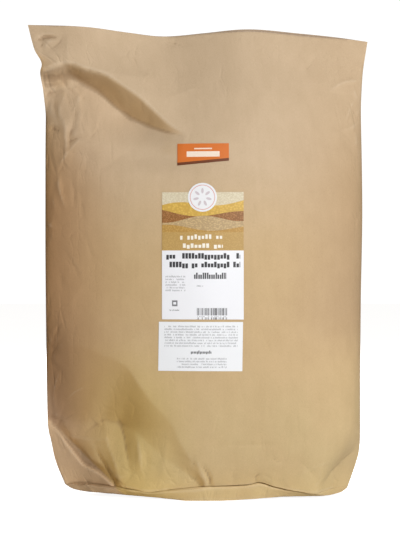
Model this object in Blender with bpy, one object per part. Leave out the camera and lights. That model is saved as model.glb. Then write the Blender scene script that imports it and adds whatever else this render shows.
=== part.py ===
# Shut kraft paper sack of rice, standing on its hexagonal pasted bottom.
#
# The sack starts as one flat grid, extruded into a slab of two sheets: the front wall and
# the back wall. Each sheet runs from the middle of the bottom, out to the bottom's crease,
# and up its wall to the mouth. The four borders of the slab become the two factory side
# creases, the bottom's middle line and the flattened mouth.
# Metres, +Z up. The front faces -Y, and the origin is on the floor under the sack's middle.

import math

import bmesh
import bpy
import numpy as np
from mathutils import Vector
from mathutils.bvhtree import BVHTree

# Driving sizes of the sack
SACK_HEIGHT = 0.708        # floor to the highest corner of the mouth
MOUTH_THICKNESS = 0.004    # the two walls pressed together at the side creases
SEAM_THICKNESS = 0.002     # the folded paper along a side crease
MOUTH_GAP = 0.006          # how far the walls stand apart in the middle of the mouth
FLAT_SHARE = 0.80          # share of the bottom's half depth before it turns up to its crease
SETTLING = 0.003           # how far the rounded bottom is pressed flat by the floor

# Each side crease: (height, x) from the bottom's point up to the mouth's corner
LEFT_CREASE = [
    (0.000, -0.1995), (0.042, -0.2143), (0.074, -0.2203), (0.087, -0.2233), (0.100, -0.2248),
    (0.200, -0.2265), (0.400, -0.2280), (0.565, -0.2280), (0.608, -0.2330), (0.634, -0.2365),
    (0.648, -0.2330), (0.670, -0.2440), (0.708, -0.2550),
]
RIGHT_CREASE = [
    (0.000, 0.2241), (0.020, 0.2300), (0.047, 0.2376), (0.060, 0.2406), (0.080, 0.2421),
    (0.150, 0.2420), (0.300, 0.2430), (0.450, 0.2455), (0.590, 0.2445), (0.650, 0.2470), (0.708, 0.2550),
]

# How far each wall bulges from the plane of the side creases: (height, depth)
FRONT_BULGE = [
    (0.00, 0.072), (0.05, 0.082), (0.18, 0.092), (0.32, 0.092), (0.44, 0.085),
    (0.53, 0.069), (0.60, 0.045), (0.66, 0.018), (0.708, 0.000),
]
BACK_BULGE = [
    (0.00, 0.070), (0.05, 0.075), (0.18, 0.079), (0.32, 0.078), (0.44, 0.071),
    (0.53, 0.056), (0.60, 0.036), (0.66, 0.015), (0.708, 0.000),
]

# How far each side crease stands in front of the sack's middle plane: (height, distance)
LEFT_FORWARD = [
    (0.00, 0.006), (0.08, 0.012), (0.30, 0.014), (0.50, 0.010), (0.56, 0.004), (0.600, -0.008),
    (0.622, -0.010), (0.640, 0.002), (0.655, 0.007), (0.680, 0.004), (0.708, 0.000),
]
RIGHT_FORWARD = [
    (0.00, 0.006), (0.08, 0.012), (0.30, 0.014), (0.52, 0.010), (0.62, 0.002), (0.708, 0.000),
]

# The mouth's cut edge: (x, height), and (x, how far it leans to the back)
MOUTH_EDGE = [
    (-0.255, 0.708), (-0.170, 0.7045), (-0.105, 0.698), (-0.052, 0.6935), (0.010, 0.6970),
    (0.075, 0.7010), (0.150, 0.6955), (0.210, 0.690), (0.255, 0.6840),
]
MOUTH_LEAN = [
    (-0.255, -0.004), (-0.190, -0.010), (-0.052, 0.014), (0.075, -0.008), (0.255, 0.006),
]

# The bottom, rounded by the rice: (x, height of its edge), and (x, height of the crease above that)
BOTTOM_RISE = [
    (-0.200, 0.017), (-0.125, 0.015), (-0.080, 0.011), (-0.035, 0.006), (0.000, 0.003),
    (0.040, 0.004), (0.110, 0.009), (0.160, 0.011), (0.230, 0.010),
]
CREASE_LIFT = [
    (-0.200, 0.002), (-0.118, 0.008), (-0.082, 0.006), (-0.040, 0.014), (0.000, 0.021),
    (0.070, 0.022), (0.110, 0.016), (0.170, 0.004), (0.230, 0.004),
]

# The slanted facet at each bottom corner: its foot and its top on the side crease, and the
# hexagon's corner on the front, whose depth is the same to the back
FACETS = [
    ((-0.2025, -0.006, 0.0190), (-0.2265, -0.012, 0.0990), (-0.1175, -0.068, 0.0220)),
    ((0.2270, -0.006, 0.0145), (0.2430, -0.010, 0.0700), (0.1720, -0.068, 0.0150)),
]
FACET_SOFTNESS = 0.002
FACET_FADE = 0.055         # how far above a facet the wall takes to regain its fullness

# Roundness of the cross-section, from the bottom to the pillow above it
LEFT_POWER = [(0.0, 3.4), (0.08, 2.4), (0.16, 2.0), (0.708, 2.0)]
LEFT_FACE_POWER = [(0.0, 2.2), (0.08, 1.7), (0.16, 1.4), (0.50, 1.4), (0.708, 1.6)]
RIGHT_POWER = [(0.0, 4.0), (0.10, 4.0), (0.25, 3.2), (0.708, 3.0)]
RIGHT_FACE_POWER = [(0.0, 2.4), (0.10, 2.1), (0.25, 1.95), (0.708, 1.8)]
SLUMP = 0.10               # how far the fullest line sits to the right of the middle

# Grid of each sheet
COLUMNS = 46
BOTTOM_ROWS = 6
WALL_ROWS = 46
BOTTOM_SHARE = BOTTOM_ROWS / (BOTTOM_ROWS + WALL_ROWS)

# Labels on the front: (left, right, lower edge, upper edge), and the round badge
ORANGE_LABEL = (-0.0300, 0.0450, 0.4905, 0.5225)
MAIN_LABEL = (-0.0520, 0.0660, 0.2670, 0.4510)
LOWER_LABEL = (-0.0570, 0.0650, 0.1925, 0.2635)
BADGE_CENTRE = (0.0065, 0.4435)
BADGE_RADIUS = 0.021
LABEL_GAP = 0.0006
LABEL_THICKNESS = 0.0006
LABEL_CELL = 0.0075

KRAFT = (0.58, 0.42, 0.26)
ORANGE = (0.83, 0.19, 0.03)
WHITE = (0.86, 0.87, 0.88)


def through(knots, at):
    """A smooth curve through (position, value) knots that never swings past a knot."""
    place, value = (np.array(column, float) for column in zip(*knots))
    at = np.clip(at, place[0], place[-1])
    slope = np.diff(value) / np.diff(place)
    same_way = slope[:-1] * slope[1:] > 0
    middle = np.where(same_way, 2 * slope[:-1] * slope[1:] / (slope[:-1] + slope[1:] + 1e-12), 0)
    tangent = np.concatenate([slope[:1], middle, slope[-1:]])
    i = np.clip(np.searchsorted(place, at) - 1, 0, len(slope) - 1)
    step = place[i + 1] - place[i]
    t = (at - place[i]) / step
    return (
        value[i] * (1 + 2 * t) * (1 - t) ** 2
        + value[i + 1] * t**2 * (3 - 2 * t)
        + step * tangent[i] * t * (1 - t) ** 2
        - step * tangent[i + 1] * t**2 * (1 - t)
    )


def along_path(x, z, path):
    """For each point: its distance from the path, positive on the path's right, and how far along it is."""
    path = np.array(path, float)
    runs = np.diff(path, axis=0)
    lengths = np.hypot(runs[:, 0], runs[:, 1])
    starts = np.concatenate([[0], np.cumsum(lengths)[:-1]])
    nearest = np.full(x.shape, np.inf)
    side = np.zeros(x.shape)
    share = np.zeros(x.shape)
    for (px, pz), (dx, dz), length, start in zip(path, runs, lengths, starts):
        t = np.clip(((x - px) * dx + (z - pz) * dz) / length**2, 0, 1)
        away_x, away_z = x - px - t * dx, z - pz - t * dz
        distance = np.hypot(away_x, away_z)
        closer = distance < nearest
        nearest = np.where(closer, distance, nearest)
        side = np.where(closer, np.sign(dz * away_x - dx * away_z), side)
        share = np.where(closer, (start + t * length) / lengths.sum(), share)
    return nearest * side, share


def curved(path, pieces=5):
    """A smooth line through a few (x, z) points, as a closer-spaced list."""
    at = np.linspace(0, len(path) - 1, (len(path) - 1) * pieces + 1)
    numbers = range(len(path))
    return np.column_stack([through(list(zip(numbers, axis)), at) for axis in zip(*path)])


def ease(share):
    """1 at the start and 0 at the end, level at both."""
    t = np.clip(share, 0, 1)
    return (1 - t) ** 2 * (1 + 2 * t)


def step_fold(x, z, path, depth, lift, face, apron, above=0.080):
    """A dent along a path: its right eases out over an apron, and its left steps up to a proud brow."""
    distance, share = along_path(x, z, curved(path))
    swell = np.sin(math.pi * np.clip(share, 0, 1)) ** 0.6
    step = (depth + lift) * ease(-distance / face) - lift * ease((-distance - face) / above)
    return swell * np.where(distance < 0, step, depth * ease(distance / apron))


def band_fold(x, z, valley, brow, depths, apron, above=0.080, lift=0.12):
    """A dent that falls from a brow to a valley, two edges that never turn back, and eases out below."""
    (ax, az), (bx, bz) = valley[0], valley[-1]
    length = math.hypot(bx - ax, bz - az)
    cos, sin = (bx - ax) / length, (bz - az) / length
    turned = [
        [((px - ax) * cos + (pz - az) * sin, (pz - az) * cos - (px - ax) * sin) for px, pz in edge]
        for edge in (valley, brow)
    ]
    along, up = (x - ax) * cos + (z - az) * sin, (z - az) * cos - (x - ax) * sin
    low, high = through(turned[0], along), through(turned[1], along)
    fall = (1 + lift) * ease((up - low) / (high - low)) - lift
    over = np.where(up > high, -lift * ease((up - high) / above), fall)
    return through(depths, along / length) * np.where(up > low, over, ease((low - up) / apron))


def crease(x, z, path, depth, width):
    """A sharp valley along the path, or a ridge where depth is negative."""
    distance, share = along_path(x, z, curved(path))
    swell = np.sin(math.pi * np.clip(share, 0, 1)) ** 0.5
    return depth * swell * np.clip(1 - np.abs(distance) / width, 0, 1) ** 2


def front_folds(x, z):
    """How deep the front wall is pushed in at each (x, height), by the folds that show."""
    shoulder = step_fold(
        x, z,
        [(-0.268, 0.612), (-0.231, 0.625), (-0.204, 0.631), (-0.188, 0.624), (-0.152, 0.606),
         (-0.120, 0.581), (-0.084, 0.554), (-0.048, 0.541), (-0.012, 0.533)],
        depth=0.028, lift=0.010, face=0.036, apron=0.080,
    )
    ear = crease(x, z, [(-0.246, 0.682), (-0.228, 0.690), (-0.204, 0.689)], depth=0.005, width=0.012)
    waist = crease(x, z, [(-0.160, 0.508), (-0.060, 0.500), (0.060, 0.486), (0.160, 0.474)], depth=0.003, width=0.040)
    belly = band_fold(
        x, z,
        [(-0.232, 0.092), (-0.180, 0.086), (-0.135, 0.114), (-0.088, 0.100), (-0.049, 0.067), (-0.005, 0.036),
         (0.014, 0.008)],
        [(-0.240, 0.245), (-0.160, 0.230), (-0.110, 0.205), (-0.067, 0.150), (-0.023, 0.089), (0.013, 0.034),
         (0.022, 0.010)],
        [(0, 0.012), (0.20, 0.022), (0.42, 0.028), (0.60, 0.027), (0.83, 0.014), (1, 0.003)],
        apron=0.120,
    )
    heel = step_fold(
        x, z,
        [(-0.158, 0.100), (-0.150, 0.072), (-0.136, 0.046), (-0.126, 0.026), (-0.124, 0.006)],
        depth=0.006, lift=0.002, face=0.020, apron=0.050, above=0.040,
    )
    return shoulder + ear + waist + belly + heel


def back_folds(x, z):
    """The plainer folds of the back wall, which the photograph doesn't show."""
    shoulder = step_fold(
        x, z,
        [(0.020, 0.548), (0.070, 0.556), (0.115, 0.574), (0.160, 0.602), (0.205, 0.628), (0.250, 0.634)],
        depth=0.010, lift=0.003, face=0.032, apron=0.075,
    )
    belly = step_fold(
        x, z,
        [(0.020, 0.012), (0.030, 0.040), (0.060, 0.070), (0.110, 0.098), (0.160, 0.112)],
        depth=0.008, lift=0.002, face=0.024, apron=0.060, above=0.060,
    )
    return shoulder + belly


def fullness(spread, height):
    """Share of the full bulge at each place from crease (-1) to crease (1)."""
    leaning = spread - SLUMP * (1 - spread**2)
    power = np.where(leaning < 0, through(LEFT_POWER, height), through(RIGHT_POWER, height))
    face_power = np.where(leaning < 0, through(LEFT_FACE_POWER, height), through(RIGHT_FACE_POWER, height))
    return np.clip(1 - np.abs(leaning) ** power, 0, 1) ** (1 / face_power)


def sheet_points(across, up, face):
    """Points of one sheet. across runs -1 to 1, up runs 0 to 1 from the bottom's middle, face is -1 or 1."""
    wall = np.clip((up - BOTTOM_SHARE) / (1 - BOTTOM_SHARE), 0, 1)
    tuck = np.clip(up / BOTTOM_SHARE, 0, 1)
    height = SACK_HEIGHT * wall
    spread = 0.45 * across + 0.55 * np.sin(math.pi / 2 * across)

    left, right = through(LEFT_CREASE, height), through(RIGHT_CREASE, height)
    x = (left + right) / 2 + (right - left) / 2 * spread * (0.7 + 0.3 * tuck)
    bulge = through(FRONT_BULGE if face < 0 else BACK_BULGE, height) * tuck
    mouth = MOUTH_GAP / 2 * wall**8
    seam = (SEAM_THICKNESS + (MOUTH_THICKNESS - SEAM_THICKNESS) * wall**8) / 2
    room = (bulge + mouth) * fullness(spread, height)
    y = face * (seam + room) + through(MOUTH_LEAN, x) * wall**4
    forward = np.where(spread < 0, through(LEFT_FORWARD, height), through(RIGHT_FORWARD, height))
    y = y - forward * np.abs(spread) ** 5 * tuck

    rise = through(BOTTOM_RISE, x) * (0.35 + 0.65 * tuck**2) * (1 - wall) ** 3
    lift = through(CREASE_LIFT, x) * np.clip((tuck - FLAT_SHARE) / (1 - FLAT_SHARE), 0, 1) ** 1.5
    z = height * through(MOUTH_EDGE, x) / SACK_HEIGHT + rise + lift * np.exp(-height / 0.035)
    return np.column_stack([x, y, z]), seam + 0.8 * room


def press_corners(points, face):
    """Flattens the paper below each corner's fold onto a slanted facet, and eases the wall above into it."""
    for low, high, corner in FACETS:
        foot, top = Vector(low), Vector(high)
        end = Vector((corner[0], -face * corner[1], corner[2]))
        normal = (top - foot).cross(end - foot).normalized()
        if normal.x * foot.x < 0:
            normal.negate()
        outside = (points - np.array(foot)) @ np.array(normal)
        outside = (outside + np.sqrt(outside**2 + FACET_SOFTNESS**2)) / 2
        fold = [(top.x, top.z), (end.x, end.z)]
        if foot.x > 0:
            fold.reverse()
        below, _ = along_path(points[:, 0], points[:, 2], fold)
        fade = np.clip(1 + below / FACET_FADE, 0, 1) ** 1.5
        points = points - (outside * fade)[:, None] * np.array(normal)
    return points


def sack_points(across, up, face):
    """Points of the finished sack's surface."""
    points, room = sheet_points(across, up, face)
    points = press_corners(points, face)
    folds = front_folds if face < 0 else back_folds
    push = folds(points[:, 0], points[:, 2]) * np.clip(points[:, 2] / 0.02, 0, 1)
    push = np.where(push > 0, 2 * room * (1 - np.exp(-push / (2 * room))), push * np.clip(room / 0.020, 0, 1))
    points[:, 1] -= face * push
    points[:, 2] = np.maximum(points[:, 2] - SETTLING, 0)
    return points


def turn_outwards(bm):
    """Makes every face look outwards, going by the sign of the enclosed volume."""
    bmesh.ops.recalc_face_normals(bm, faces=bm.faces[:])
    if bm.calc_volume(signed=True) < 0:
        bmesh.ops.reverse_faces(bm, faces=bm.faces[:])


def new_object(name, bm, colour, roughness):
    """Turns a bmesh into a smooth-shaded object with a material of its own."""
    mesh = bpy.data.meshes.new(name)
    bm.to_mesh(mesh)
    bm.free()
    mesh.shade_smooth()
    mesh.set_sharp_from_angle(angle=math.radians(30))
    material = bpy.data.materials.new(name)
    material.use_nodes = True
    shader = material.node_tree.nodes["Principled BSDF"]
    shader.inputs["Base Color"].default_value = (*colour, 1)
    shader.inputs["Roughness"].default_value = roughness
    shader.inputs["Metallic"].default_value = 0
    mesh.materials.append(material)
    obj = bpy.data.objects.new(name, mesh)
    parts.objects.link(obj)
    return obj


def make_sack():
    """The sack, from a grid extruded into a slab whose two sheets become the walls."""
    bm = bmesh.new()
    bmesh.ops.create_grid(bm, x_segments=COLUMNS, y_segments=BOTTOM_ROWS + WALL_ROWS, size=1)
    sheet = bmesh.ops.extrude_face_region(bm, geom=bm.faces[:], use_keep_orig=True)
    back = [v for v in sheet["geom"] if isinstance(v, bmesh.types.BMVert)]
    bmesh.ops.translate(bm, verts=back, vec=(0, 0, 1))
    for face, verts in ((-1, [v for v in bm.verts if v.co.z < 0.5]), (1, back)):
        flat = np.array([v.co for v in verts])
        for v, place in zip(verts, sack_points(flat[:, 0], (flat[:, 1] + 1) / 2, face)):
            v.co = place
    bmesh.ops.triangulate(bm, faces=bm.faces[:], quad_method="SHORT_EDGE")
    turn_outwards(bm)
    return new_object("sack", bm, KRAFT, 0.8)


def lay_on_front(bm, tree, gap):
    """Lays a flat patch in the XZ plane on the sack's front and gives it a label's thickness."""
    for v in bm.verts:
        hit = tree.ray_cast(Vector((v.co.x, -1, v.co.z)), Vector((0, 1, 0)))[0]
        v.co.y = hit.y - gap
    top = bmesh.ops.extrude_face_region(bm, geom=bm.faces[:], use_keep_orig=True)
    verts = [v for v in top["geom"] if isinstance(v, bmesh.types.BMVert)]
    bmesh.ops.translate(bm, verts=verts, vec=(0, -LABEL_THICKNESS, 0))
    turn_outwards(bm)


def make_label(name, tree, edges, colour):
    """A rectangular label between two x and two heights."""
    left, right, low, high = edges
    wide, tall = right - left, high - low
    bm = bmesh.new()
    bmesh.ops.create_grid(
        bm, x_segments=round(wide / LABEL_CELL), y_segments=round(tall / LABEL_CELL), size=0.5
    )
    for v in bm.verts:
        v.co = Vector((left + wide * (v.co.x + 0.5), 0, low + tall * (v.co.y + 0.5)))
    lay_on_front(bm, tree, LABEL_GAP)
    return new_object(name, bm, colour, 0.45)


def make_badge(name, tree, centre, radius, colour):
    """A round sticker over the main label's upper edge, made of rings of quads round a small middle face."""
    bm = bmesh.new()
    bmesh.ops.create_circle(bm, cap_ends=True, segments=28, radius=radius)
    for ring in (0.72, 0.42, 0.14):
        middle = min(bm.faces, key=lambda f: f.calc_center_median().length)
        wide = max(v.co.length for v in middle.verts)
        bmesh.ops.inset_individual(bm, faces=[middle], thickness=wide - ring * radius, use_even_offset=True)
    for v in bm.verts:
        v.co = Vector((centre[0] + v.co.x, 0, centre[1] + v.co.y))
    lay_on_front(bm, tree, 2 * LABEL_GAP + LABEL_THICKNESS)
    return new_object(name, bm, colour, 0.4)


def centre_over_origin(objects):
    """Moves all pieces together so that the whole stands centred over the origin."""
    corners = np.array([v.co for obj in objects for v in obj.data.vertices])
    low, high = corners.min(axis=0), corners.max(axis=0)
    shift = Vector((-(low[0] + high[0]) / 2, -(low[1] + high[1]) / 2, -low[2]))
    for obj in objects:
        obj.location = shift


for old in list(bpy.data.objects):
    bpy.data.objects.remove(old)
parts = bpy.data.collections.new("rice_sack")
bpy.context.scene.collection.children.link(parts)

sack = make_sack()
surface = BVHTree.FromPolygons(
    [v.co for v in sack.data.vertices], [p.vertices for p in sack.data.polygons]
)
pieces = [
    sack,
    make_label("orange_label", surface, ORANGE_LABEL, ORANGE),
    make_label("main_label", surface, MAIN_LABEL, WHITE),
    make_label("lower_label", surface, LOWER_LABEL, WHITE),
    make_badge("round_badge", surface, BADGE_CENTRE, BADGE_RADIUS, WHITE),
]
centre_over_origin(pieces)
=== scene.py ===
# %% [markdown]
# # A shut kraft paper sack of rice, standing up
# This lesson builds the visible sack over its plain solid model. The model gives the size and the
# stance. Here the paper gets its real folds, its crumples, its cut mouth, its labels and its fibres.

import math

import bmesh
import bpy
import numpy as np
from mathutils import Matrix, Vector, noise
from mathutils.bvhtree import BVHTree


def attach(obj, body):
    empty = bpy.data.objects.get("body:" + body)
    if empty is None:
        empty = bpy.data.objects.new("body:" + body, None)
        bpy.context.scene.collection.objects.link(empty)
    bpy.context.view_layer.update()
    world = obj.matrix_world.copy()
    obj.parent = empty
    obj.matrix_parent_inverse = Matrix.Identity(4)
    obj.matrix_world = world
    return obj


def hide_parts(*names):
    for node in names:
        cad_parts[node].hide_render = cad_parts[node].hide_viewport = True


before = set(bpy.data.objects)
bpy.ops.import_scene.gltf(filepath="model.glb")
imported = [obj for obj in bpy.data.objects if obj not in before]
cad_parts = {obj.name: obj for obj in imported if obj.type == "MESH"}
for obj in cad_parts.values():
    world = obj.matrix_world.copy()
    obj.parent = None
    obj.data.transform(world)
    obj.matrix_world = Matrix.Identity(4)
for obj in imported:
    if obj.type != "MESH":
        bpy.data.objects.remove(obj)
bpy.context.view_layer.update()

# %% [markdown]
# ## Measures of the sack
# A paper sack begins as a flat tube, pinched along two factory creases and pasted shut at one end
# into a hexagon. Everything that shows follows from a few curves: where the two creases run, how far
# each wall bulges between them, and the line of the cut mouth. Each curve is a short list of knots.

# %% Measures
SACK_HEIGHT = 0.708        # floor to the highest corner of the mouth
COLUMNS, BOTTOM_ROWS, WALL_ROWS = 172, 28, 236
ROWS = BOTTOM_ROWS + WALL_ROWS
PAPER = 0.0005             # one wall of the sack, two plies
SETTLING = 0.003           # how far the rounded bottom is pressed flat by the floor
HALF_PAPER = 0.27          # half of the flat paper over one wall, from the middle to a crease
ROW_HEIGHT = 0.003         # height of one row of cells on a wall

# Each side crease, as (height, x)
LEFT_CREASE = [
    (0.000, -0.1995), (0.042, -0.2143), (0.074, -0.2203), (0.087, -0.2233), (0.100, -0.2248),
    (0.200, -0.2265), (0.400, -0.2280), (0.565, -0.2280), (0.608, -0.2330), (0.634, -0.2365),
    (0.648, -0.2330), (0.670, -0.2440), (0.708, -0.2550),
]
RIGHT_CREASE = [
    (0.000, 0.2241), (0.020, 0.2300), (0.047, 0.2376), (0.060, 0.2406), (0.080, 0.2421), (0.150, 0.2420),
    (0.300, 0.2430), (0.450, 0.2455), (0.590, 0.2445), (0.650, 0.2470), (0.708, 0.2550),
]
# How far each wall bulges from the plane of the creases, as (height, depth)
FRONT_BULGE = [
    (0.00, 0.072), (0.05, 0.082), (0.18, 0.093), (0.32, 0.093), (0.44, 0.086),
    (0.53, 0.069), (0.60, 0.045), (0.66, 0.018), (0.708, 0.000),
]
BACK_BULGE = [
    (0.00, 0.070), (0.05, 0.075), (0.18, 0.079), (0.32, 0.078), (0.44, 0.071),
    (0.53, 0.056), (0.60, 0.036), (0.66, 0.015), (0.708, 0.000),
]
# How far each crease stands in front of the middle plane, as (height, distance)
LEFT_FORWARD = [
    (0.00, 0.006), (0.08, 0.012), (0.30, 0.014), (0.50, 0.010), (0.56, 0.004), (0.595, -0.008),
    (0.617, -0.014), (0.629, -0.008), (0.642, 0.010), (0.660, 0.011), (0.685, 0.005), (0.708, 0.000),
]
RIGHT_FORWARD = [(0.00, 0.006), (0.08, 0.012), (0.30, 0.014), (0.52, 0.010), (0.62, 0.002), (0.708, 0.000)]
# How boxy each half of the cross-section is, and how full its edge, as (height, power)
LEFT_POWER = [(0.0, 3.4), (0.06, 2.6), (0.11, 2.0), (0.708, 2.0)]
LEFT_EDGE = [(0.0, 2.2), (0.06, 1.8), (0.11, 1.28), (0.25, 1.32), (0.50, 1.42), (0.708, 1.6)]
RIGHT_POWER = [(0.0, 4.0), (0.10, 4.0), (0.25, 3.1), (0.708, 3.0)]
RIGHT_EDGE = [(0.0, 2.4), (0.10, 2.1), (0.25, 1.95), (0.708, 1.8)]
SLUMP = 0.10               # how far the fullest line sits to the right of the middle
# The cut mouth, each as (x, metres): its height, how much lower the front edge is cut, how far it
# leans back, and how far its two edges stand apart
MOUTH_EDGE = [
    (-0.255, 0.708), (-0.170, 0.7045), (-0.105, 0.698), (-0.052, 0.6935), (0.010, 0.6970),
    (0.075, 0.7010), (0.150, 0.6955), (0.210, 0.690), (0.255, 0.6840),
]
MOUTH_STEP = [
    (-0.255, 0.0004), (-0.215, 0.0016), (-0.170, 0.0006), (-0.060, 0.0012), (0.020, 0.0022),
    (0.060, 0.0042), (0.150, 0.0046), (0.205, 0.0030), (0.240, 0.0008), (0.255, 0.0004),
]
MOUTH_LEAN = [
    (-0.255, -0.004), (-0.190, -0.010), (-0.052, 0.014), (0.075, -0.008), (0.255, 0.006),
]
MOUTH_GAP = [
    (-0.255, 0.0), (-0.200, 0.0008), (-0.120, 0.0014), (-0.050, 0.0020), (0.060, 0.0034),
    (0.140, 0.0038), (0.215, 0.0016), (0.255, 0.0),
]
# The bottom, each as (x, metres): the height of its edge, and of the crease above that
BOTTOM_RISE = [
    (-0.200, 0.017), (-0.125, 0.015), (-0.080, 0.011), (-0.035, 0.006), (0.000, 0.003),
    (0.040, 0.004), (0.110, 0.009), (0.160, 0.011), (0.230, 0.010),
]
CREASE_LIFT = [
    (-0.200, 0.0020), (-0.160, 0.0048), (-0.118, 0.0080), (-0.085, 0.0068),
    (-0.079, 0.0060), (-0.040, 0.0140), (-0.004, 0.0215), (0.016, 0.0235), (0.068, 0.0225),
    (0.082, 0.0235), (0.087, 0.0245), (0.112, 0.0160), (0.133, 0.0100), (0.172, 0.0035), (0.230, 0.0040),
]
# The slanted facet at each bottom corner: its foot and its top on the crease, and the hexagon's
# corner on the front
FACETS = [
    ((-0.2020, -0.006, 0.0190), (-0.2262, -0.012, 0.0990), (-0.1175, -0.068, 0.0220)),
    ((0.2268, -0.006, 0.0145), (0.2430, -0.010, 0.0700), (0.1720, -0.068, 0.0150)),
]
FACET_FADE = 0.055         # how far above a facet the wall takes to regain its fullness
print("paper grid:", COLUMNS, "by", ROWS, "cells on each of the two walls")

# %% [markdown]
# ## Curves and folds as functions
# A fold in stiff paper is a line with a different rule on each side. One side is a short steep
# face, the other a long slope. The same few functions make every fold here: a distance from a
# path, and a depth that depends on it.

# %% Curves and folds


def through(knots, at):
    """A smooth curve through (position, value) knots that never swings past a knot."""
    place, value = (np.array(column, float) for column in zip(*knots))
    at = np.clip(at, place[0], place[-1])
    slope = np.diff(value) / np.diff(place)
    same_way = slope[:-1] * slope[1:] > 0
    middle = np.where(same_way, 2 * slope[:-1] * slope[1:] / (slope[:-1] + slope[1:] + 1e-12), 0)
    tangent = np.concatenate([slope[:1], middle, slope[-1:]])
    i = np.clip(np.searchsorted(place, at) - 1, 0, len(slope) - 1)
    step = place[i + 1] - place[i]
    t = (at - place[i]) / step
    return (
        value[i] * (1 + 2 * t) * (1 - t) ** 2
        + value[i + 1] * t**2 * (3 - 2 * t)
        + step * tangent[i] * t * (1 - t) ** 2
        - step * tangent[i + 1] * t**2 * (1 - t)
    )


def curved(path, pieces=6):
    """A smooth line through a few (x, z) points, as a closer-spaced list."""
    at = np.linspace(0, len(path) - 1, (len(path) - 1) * pieces + 1)
    return np.column_stack([through(list(enumerate(axis)), at) for axis in zip(*path)])


def along_path(x, z, path):
    """Distance from the path, positive on its right, and how far along it each point is."""
    runs = np.diff(path, axis=0)
    lengths = np.hypot(runs[:, 0], runs[:, 1])
    starts = np.concatenate([[0], np.cumsum(lengths)[:-1]])
    nearest = np.full(x.shape, np.inf)
    side, share = np.zeros(x.shape), np.zeros(x.shape)
    for (px, pz), (dx, dz), length, start in zip(path, runs, lengths, starts):
        t = np.clip(((x - px) * dx + (z - pz) * dz) / length**2, 0, 1)
        away_x, away_z = x - px - t * dx, z - pz - t * dz
        distance = np.hypot(away_x, away_z)
        closer = distance < nearest
        nearest = np.where(closer, distance, nearest)
        side = np.where(closer, np.sign(dz * away_x - dx * away_z), side)
        share = np.where(closer, (start + t * length) / lengths.sum(), share)
    return nearest * side, share


def ease(share):
    """1 at the start and 0 at the end, level at both."""
    t = np.clip(share, 0, 1)
    return (1 - t) ** 2 * (1 + 2 * t)


def step_fold(x, z, path, depths, faces, apron, lift=0.35, above=0.08, crisp=0.7):
    """A dent along a path, its depth and its face's width given along it as (share, metres) knots.

    Right of the path the dent eases out over an apron. Left of it the face steps up to a proud brow.
    """
    distance, share = along_path(x, z, curved(path))
    depth, face = through(depths, share), through(faces, share)
    t = np.clip(-distance / face, 0, 1)
    steep = crisp * (1 - t) + (1 - crisp) * ease(t)
    brow = -lift * ease((-distance - face) / above)
    rise = np.where(distance < -face, brow, (1 + lift) * steep - lift)
    return depth * np.where(distance < 0, rise, ease(distance / apron))


def band_fold(x, z, valley, brow, depths, apron, above=0.08, lift=0.12):
    """A dent between two edges that never turn back, each given by (x, z) points from left to right.

    The wall falls from the brow to the valley, and eases out again below it.
    """
    (ax, az), (bx, bz) = valley[0], valley[-1]
    length = math.hypot(bx - ax, bz - az)
    cos, sin = (bx - ax) / length, (bz - az) / length
    level_valley, level_brow = (
        [((px - ax) * cos + (pz - az) * sin, (pz - az) * cos - (px - ax) * sin) for px, pz in edge]
        for edge in (valley, brow)
    )
    along, up = (x - ax) * cos + (z - az) * sin, (z - az) * cos - (x - ax) * sin
    low, high = through(level_valley, along), through(level_brow, along)
    t = np.clip((up - low) / (high - low), 0, 1)
    steep = 0.75 * (1 - t) + 0.25 * ease(t)
    over = np.where(up > high, -lift * ease((up - high) / above), (1 + lift) * steep - lift)
    return through(depths, along / length) * np.where(up > low, over, ease((low - up) / apron))


def crease(x, z, path, depth, width):
    """A sharp valley along the path, or a ridge where depth is negative, that dies away at both ends."""
    distance, share = along_path(x, z, curved(path))
    return depth * np.sin(math.pi * share) * np.exp(-np.abs(distance) / width)


def trough(x, z, path, depth, width):
    """A soft valley with a round floor along the path, that dies away at both ends."""
    distance, share = along_path(x, z, curved(path))
    return depth * np.sin(math.pi * share) * np.exp(-((distance / width) ** 2))


even = [(0, 0.02), (1, 0.02)]
profile = step_fold(np.zeros(5), np.linspace(0.06, -0.06, 5), [(-0.1, 0.0), (0.1, 0.0)], even, even, 0.08)
print("depths across a fold, from its brow to its apron:", profile.round(4))

# %% [markdown]
# ## The folds that show
# The sack's top has slumped to the left. Its right shoulder stands proud and falls away along one
# long curved brow, and the paper below it is gathered into small upright wrinkles. Two soft valleys
# cross the waist. At the bottom left the belly steps down to the pasted corner, and one short pleat
# runs into the bottom edge. Sculpting could make all this too, but a fold that is a path with a depth
# can be moved or softened by changing one number.

# %% The front wall's folds


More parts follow.
